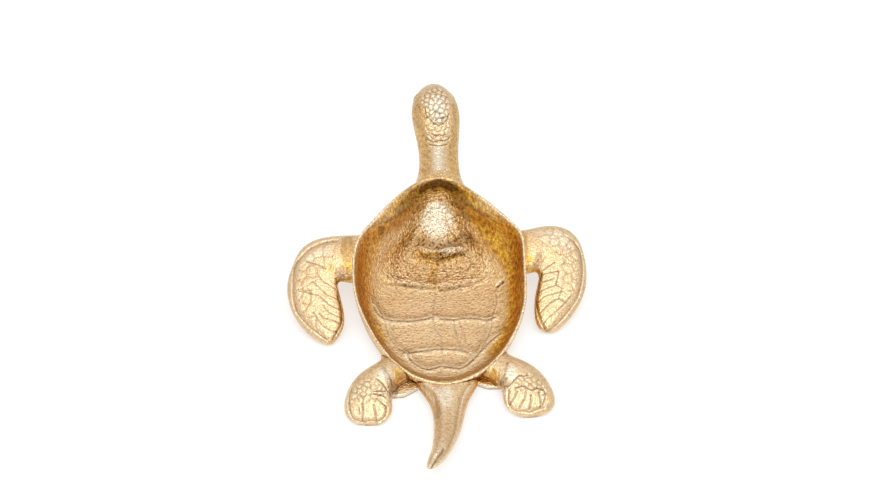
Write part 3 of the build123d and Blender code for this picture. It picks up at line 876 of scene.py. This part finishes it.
def gilt_brass():
    """Cast brass with a satin gilt finish.

    It is pale warm gold, paler at crests of wear and painted highlights, deeper orange gold with
    painted reflection and shade, and brown in its tarnished lines and pits and where shade is
    painted.
    A finely pitted skin breaks up what it mirrors.
    """
    material = bpy.data.materials.new("gilt_cast_brass")
    material.use_nodes = True
    tree = material.node_tree
    tree.nodes.clear()
    place = add_node(tree, "ShaderNodeTexCoord").outputs["Object"]
    tarnish_and_shade, deep, coarse, wear_and_painted_highlight = (
        add_node(tree, "ShaderNodeAttribute", {"attribute_name": name}).outputs["Fac"]
        for name in ("tarnish", "deep", "coarse", "wear_and_painted_highlight"))
    # Blotches 8 mm across, crumpled skin and pits 1.3 mm, grain 0.7 mm, streaks 1.4 by 2.1 mm
    blotch = add_node(tree, "ShaderNodeTexNoise", None,
                      {"Scale": 125, "Detail": 5, "Roughness": 0.65},
                      {"Vector": place}).outputs["Fac"]
    crumple = add_node(tree, "ShaderNodeTexNoise", None,
                       {"Scale": 780, "Detail": 2, "Roughness": 0.6},
                       {"Vector": place}).outputs["Fac"]
    grain = add_node(tree, "ShaderNodeTexNoise", None,
                     {"Scale": 1450, "Detail": 1, "Roughness": 0.6},
                     {"Vector": place}).outputs["Fac"]
    along = add_node(tree, "ShaderNodeMapping", None, {"Scale": (700, 480, 480)},
                     {"Vector": place}).outputs["Vector"]
    streaks = add_node(tree, "ShaderNodeTexNoise", None,
                       {"Scale": 1, "Detail": 3, "Roughness": 0.6},
                       {"Vector": along}).outputs["Fac"]
    specks = add_node(tree, "ShaderNodeMapRange", {"interpolation_type": "SMOOTHSTEP"},
                      {"From Min": 0.5, "From Max": 0.34, "To Min": 0, "To Max": 1},
                      {"Value": crumple}).outputs["Result"]
    uneven = add_node(tree, "ShaderNodeMapRange", {"interpolation_type": "SMOOTHSTEP"},
                      {"From Min": 0.34, "From Max": 0.68, "To Min": 0, "To Max": 1},
                      {"Value": streaks}).outputs["Result"]
    # Colour: gold deepened by painted reflection and shade, paler at crests of wear and painted
    # highlights, then the brown of tarnished lines, painted shade and pits
    plain = add_node(tree, "ShaderNodeMix", {"data_type": "RGBA"},
                     {"A": linear("#f3d8ae"), "B": linear("#deb480")},
                     {"Factor": blotch}).outputs["Result"]
    deep_and_reflected_gold = add_node(tree, "ShaderNodeMix", {"data_type": "RGBA"},
                         {"A": linear("#f6c352"), "B": linear("#b97a2c")},
                         {"Factor": uneven}).outputs["Result"]
    gold = add_node(tree, "ShaderNodeMix", {"data_type": "RGBA"}, None,
                    {"Factor": deep, "A": plain, "B": deep_and_reflected_gold}).outputs["Result"]
    # Paler at crests of wear and at painted highlights
    edges = add_node(tree, "ShaderNodeMath", {"operation": "MULTIPLY"}, {1: 0.8},
                     {0: wear_and_painted_highlight}).outputs["Value"]
    paled = add_node(tree, "ShaderNodeMix", {"data_type": "RGBA"}, {"B": linear("#fdf2da")},
                     {"Factor": edges, "A": gold}).outputs["Result"]
    pitted = add_node(tree, "ShaderNodeMapRange", None, {"To Min": 0.17, "To Max": 0.62},
                      {"Value": coarse}).outputs["Result"]
    dirt = add_node(tree, "ShaderNodeMath", {"operation": "MULTIPLY"}, None,
                    {0: specks, 1: pitted}).outputs["Value"]
    darkening_sum = add_node(tree, "ShaderNodeMath", {"operation": "ADD"}, None,
                       {0: tarnish_and_shade, 1: dirt}).outputs["Value"]
    darkening = add_node(tree, "ShaderNodeMath", {"operation": "MULTIPLY", "use_clamp": True},
                     {1: 0.86}, {0: darkening_sum}).outputs["Value"]
    colour = add_node(tree, "ShaderNodeMix", {"data_type": "RGBA"}, {"B": linear("#5f3d1a")},
                      {"Factor": darkening, "A": paled}).outputs["Result"]
    # Roughness: satin by blotches, duller where it is tarnished and where shade is painted
    satin = add_node(tree, "ShaderNodeMapRange", None, {"To Min": 0.18, "To Max": 0.3},
                     {"Value": blotch}).outputs["Result"]
    rough = add_node(tree, "ShaderNodeMath", {"operation": "MULTIPLY_ADD"}, {1: 0.2},
                     {0: tarnish_and_shade, 2: satin}).outputs["Value"]
    # Skin: crumpled where it is coarse, grained all over
    folds = add_node(tree, "ShaderNodeMapRange", None, {"To Min": 0.16, "To Max": 1.0},
                     {"Value": coarse}).outputs["Result"]
    folded = add_node(tree, "ShaderNodeMath", {"operation": "MULTIPLY"}, None,
                      {0: crumple, 1: folds}).outputs["Value"]
    height = add_node(tree, "ShaderNodeMath", {"operation": "MULTIPLY_ADD"}, {1: 0.26},
                      {0: grain, 2: folded}).outputs["Value"]
    bump = add_node(tree, "ShaderNodeBump", None, {"Distance": 1.1 * MM, "Strength": 1},
                    {"Height": height}).outputs["Normal"]
    skin = add_node(tree, "ShaderNodeBsdfPrincipled", None, {"Metallic": 1},
                    {"Base Color": colour, "Roughness": rough, "Normal": bump})
    add_node(tree, "ShaderNodeOutputMaterial", links={"Surface": skin.outputs["BSDF"]})
    return material


gilt = gilt_brass()
grain_tree, grain_inputs = cast_grain()


# Pieces

def whole_casting():
    """All the CAD nodes as one surface."""
    points, faces = [], []
    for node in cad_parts.values():
        first = len(points)
        points += [v.co.copy() for v in node.data.vertices]
        faces += [tuple(first + i for i in f.vertices) for f in node.data.polygons]
    return BVHTree.FromPolygons(points, faces)


def grained(mesh, name, seed):
    """The mesh with its grain and its finish, kept within the CAD box."""
    for face in mesh.polygons:
        face.use_smooth = True
    rough = bpy.data.objects.new(name, mesh)
    bpy.context.scene.collection.objects.link(rough)
    grain = rough.modifiers.new("cast_grain", "NODES")
    grain.node_group = grain_tree
    for socket, value in (("Lump Size", lump_size * MM), ("Lump Height", lump_height * MM),
                          ("Grain Size", grain_size * MM), ("Grain Height", grain_height * MM),
                          ("Seed", float(seed)), ("Finish", gilt)):
        grain[grain_inputs[socket]] = value
    depsgraph = bpy.context.evaluated_depsgraph_get()
    done = bpy.data.meshes.new_from_object(rough.evaluated_get(depsgraph))
    bpy.data.objects.remove(rough)
    write_points(done, np.clip(read_points(done), cad_box[0], cad_box[1]))
    return done


pieces_to_dress = {
    "shell_dish": (dish_skin, dress_dish),
    "neck_and_head": (neck_skin, dress_head),
    "front_flipper_left": (limb_skin, lambda relief: dress_flipper(relief, left_flipper)),
    "front_flipper_right": (limb_skin, lambda relief: dress_flipper(relief, right_flipper)),
    "hind_foot_left": (limb_skin, lambda relief: dress_foot(relief, left_foot)),
    "hind_foot_right": (limb_skin, lambda relief: dress_foot(relief, right_foot)),
    "tail": (limb_skin, dress_tail),
}

casting = whole_casting()

for number, (node, (side, dress)) in enumerate(pieces_to_dress.items()):
    mesh = dense_copy(node, side)
    write_points(mesh, softened(mesh, read_points(mesh), skin_rounds))
    if node == "shell_dish":
        within = inside_bowl(mesh)[:, None]
        write_points(mesh, softened(mesh, read_points(mesh), bowl_rounds, within))
    relief = Relief(mesh)
    dress(relief)
    relief.shelter(casting)
    relief.apply()
    done = grained(mesh, node + "_rough", number)
    done.name = node + "_casting"
    piece = bpy.data.objects.new(node + "_casting", done)
    bpy.context.scene.collection.objects.link(piece)
    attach(piece, "root")
    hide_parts(node)


# Studio

def white_paper():
    """Plain white paper, a little brighter where it is seen or mirrored than where it lights."""
    material = bpy.data.materials.new("white_paper")
    material.use_nodes = True
    tree = material.node_tree
    tree.nodes.clear()
    paper = add_node(tree, "ShaderNodeBsdfDiffuse", sockets={"Color": [0.5, 0.5, 0.5, 1]})
    glow = add_node(tree, "ShaderNodeEmission",
                    sockets={"Color": [1, 1, 1, 1], "Strength": 0.55})
    seen = add_node(tree, "ShaderNodeLightPath")
    first = add_node(tree, "ShaderNodeMath", {"operation": "MAXIMUM"},
                     links={0: seen.outputs["Is Camera Ray"], 1: seen.outputs["Is Glossy Ray"]})
    any_ray = add_node(tree, "ShaderNodeMath", {"operation": "MAXIMUM"},
                       links={0: first.outputs[0], 1: seen.outputs["Is Transmission Ray"]})
    both = add_node(tree, "ShaderNodeAddShader",
                    links={0: paper.outputs[0], 1: glow.outputs[0]})
    shown = add_node(tree, "ShaderNodeMixShader",
                     links={0: any_ray.outputs[0], 1: paper.outputs[0], 2: both.outputs[0]})
    add_node(tree, "ShaderNodeOutputMaterial", links={"Surface": shown.outputs[0]})
    return material


floor_reach = 3  # metres
sheet = bpy.data.meshes.new("floor")
corners = [(-1, -1), (1, -1), (1, 1), (-1, 1)]
sheet.from_pydata([(floor_reach * x, floor_reach * y, 0) for x, y in corners], [], [(0, 1, 2, 3)])
sheet.materials.append(white_paper())
floor = bpy.data.objects.new("floor", sheet)
bpy.context.scene.collection.objects.link(floor)

# White air all around, brighter overhead than at the horizon
world = bpy.data.worlds.new("studio")
world.use_nodes = True
sky = world.node_tree
sky.nodes.clear()
heading = add_node(sky, "ShaderNodeTexCoord").outputs["Generated"]
height = add_node(sky, "ShaderNodeSeparateXYZ", links={"Vector": heading}).outputs["Z"]
raised = add_node(sky, "ShaderNodeMath", {"operation": "MAXIMUM"}, {1: 0},
                  {0: height}).outputs["Value"]
curve = add_node(sky, "ShaderNodeMath", {"operation": "POWER"}, {1: 0.8},
                 {0: raised}).outputs["Value"]
level = add_node(sky, "ShaderNodeMapRange", None,
                 {"From Min": 0, "From Max": 1, "To Min": 0.54, "To Max": 1.16},
                 {"Value": curve}).outputs["Result"]
air = add_node(sky, "ShaderNodeBackground", sockets={"Color": [1, 1, 1, 1]},
               links={"Strength": level})
add_node(sky, "ShaderNodeOutputWorld", links={"Surface": air.outputs[0]})
bpy.context.scene.world = world

lamp = bpy.data.lights.new("softbox", "AREA")
lamp.shape = "SQUARE"
lamp.size = 0.58
lamp.energy = 2.2
softbox = bpy.data.objects.new("softbox", lamp)
softbox.location = (0.03, -0.38, 0.92)
softbox.rotation_euler = Vector(softbox.location).to_track_quat("Z", "Y").to_euler()
bpy.context.scene.collection.objects.link(softbox)

view = bpy.data.cameras.new("photograph")
view.lens = camera_lens
view.sensor_width = camera_sensor
view.sensor_fit = "HORIZONTAL"
view.clip_start = 0.01
view.clip_end = 20
camera = bpy.data.objects.new("photograph", view)
camera.location = camera_place
camera.rotation_euler = camera_turn
bpy.context.scene.collection.objects.link(camera)
bpy.context.scene.camera = camera
bpy.context.scene.view_settings.view_transform = "Standard"
